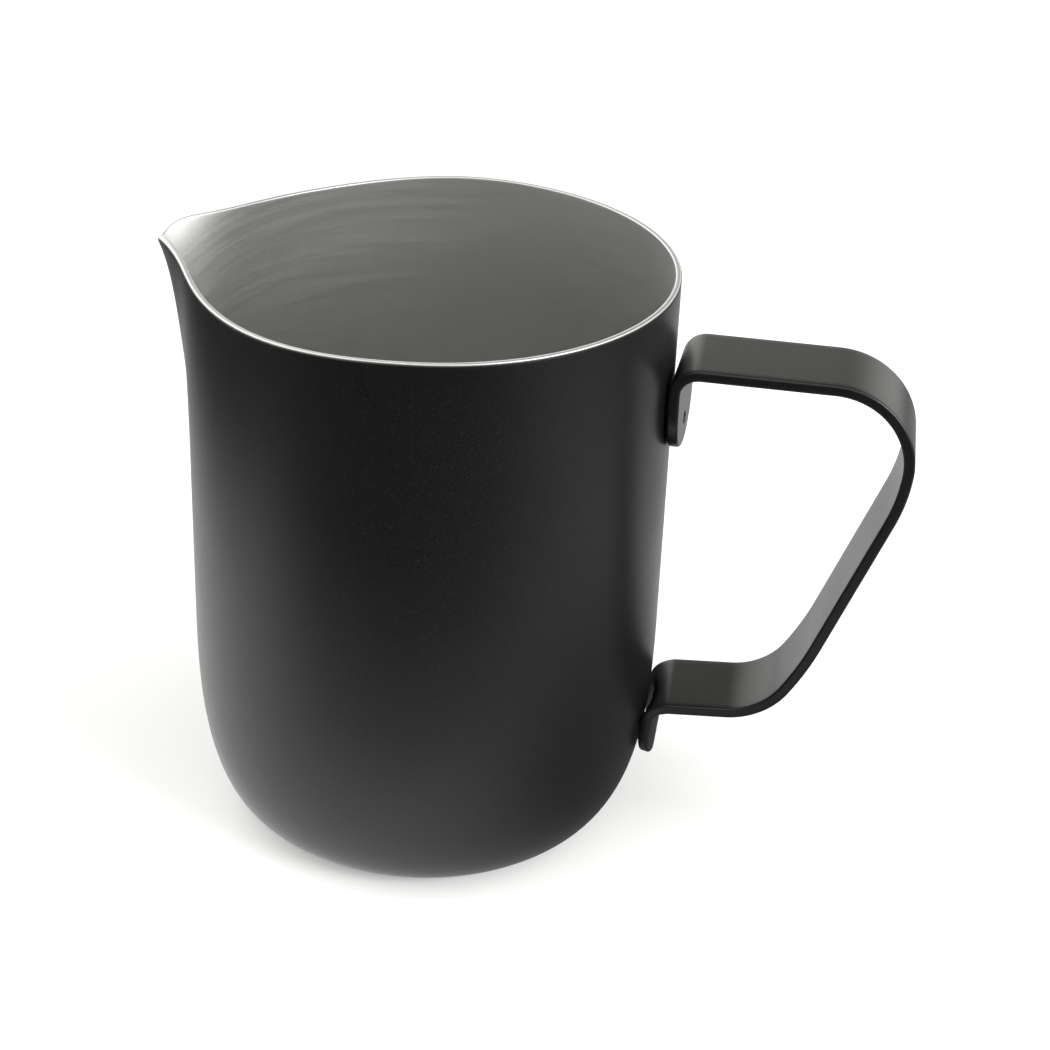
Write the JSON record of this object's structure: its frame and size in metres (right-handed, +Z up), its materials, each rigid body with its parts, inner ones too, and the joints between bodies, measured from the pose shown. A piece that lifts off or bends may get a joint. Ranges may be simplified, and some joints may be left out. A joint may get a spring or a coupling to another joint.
{
  "type": "milk frothing pitcher",
  "caption": "Drawn steel milk pitcher with a pressed pouring spout, a matt black outer coat and a flat strip handle welded on by two tabs.",
  "frame": {"origin": "centre of the flat base, on the surface that the pitcher stands on", "axes": "+X from the cup's axis towards the handle (the spout points to -X), +Y to the right of someone who looks from the handle towards the spout, +Z up"},
  "size_m": [0.1414, 0.09, 0.1154],
  "materials": {
    "bare_steel": "bare stainless steel, finely brushed around the inside, bright at the rim",
    "black_coat_film": "satin black baked coat with a very fine orange peel",
    "black_coated_steel": "steel strip under the same satin black coat",
    "coated_weld": "weld metal under the black coat"
  },
  "bodies": {
    "root": {"body_shell": "bare_steel", "body_coating": "black_coat_film", "handle_strip": "black_coated_steel", "upper_weld": "coated_weld", "lower_weld": "coated_weld"}
  },
  "joints": []
}
